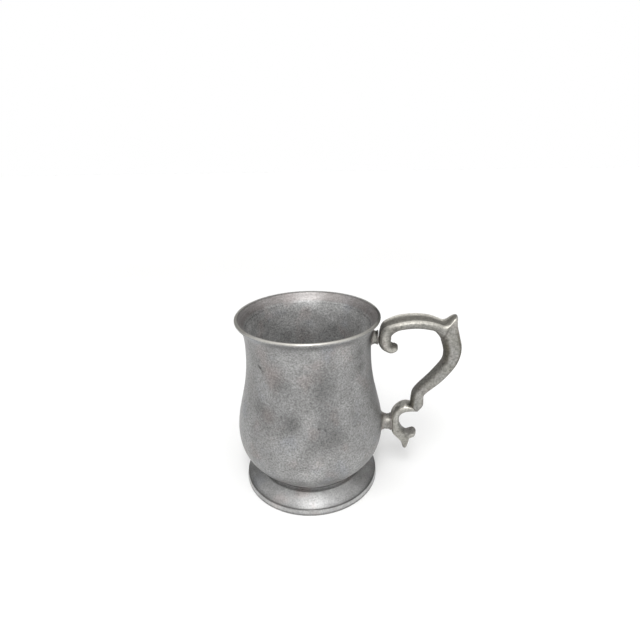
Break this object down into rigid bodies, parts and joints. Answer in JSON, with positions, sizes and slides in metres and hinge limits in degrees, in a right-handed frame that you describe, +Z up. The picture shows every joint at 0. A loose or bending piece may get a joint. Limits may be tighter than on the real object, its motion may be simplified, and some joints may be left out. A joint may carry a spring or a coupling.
{
  "type": "tankard",
  "caption": "Waisted pewter-style tankard with a flared rim, a rounded belly, a spreading foot and a double-scroll handle with a thumb spur, soldered from cast pieces; made to drink from.",
  "frame": {"origin": "centre of the foot, on the plane of the table that the tankard stands on", "axes": "+Z up along the cup's axis, +X from the cup's axis through the handle, +Y to the left of the handle seen from the cup"},
  "size_m": [0.1428, 0.0958, 0.1176],
  "materials": {
    "cast_body": "pewter, satin and finely speckled as cast, with a polished lip",
    "cast_handle": "pewter, smoother and warmer than the body, bright along its rubbed edges",
    "solder": "soft tin solder, dressed flush on the body and slightly lumpy at the handle"
  },
  "bodies": {
    "root": {"neck_casting": "cast_body", "belly_casting": "cast_body", "bowl_floor": "cast_body", "foot_ring": "cast_body", "upper_lug": "cast_handle", "lower_lug": "cast_handle", "handle_scroll": "cast_handle", "handle_tail": "cast_handle", "neck_solder": "solder", "floor_solder": "solder", "foot_solder": "solder", "upper_lug_solder": "solder", "lower_lug_solder": "solder", "tail_solder": "solder"}
  },
  "joints": []
}
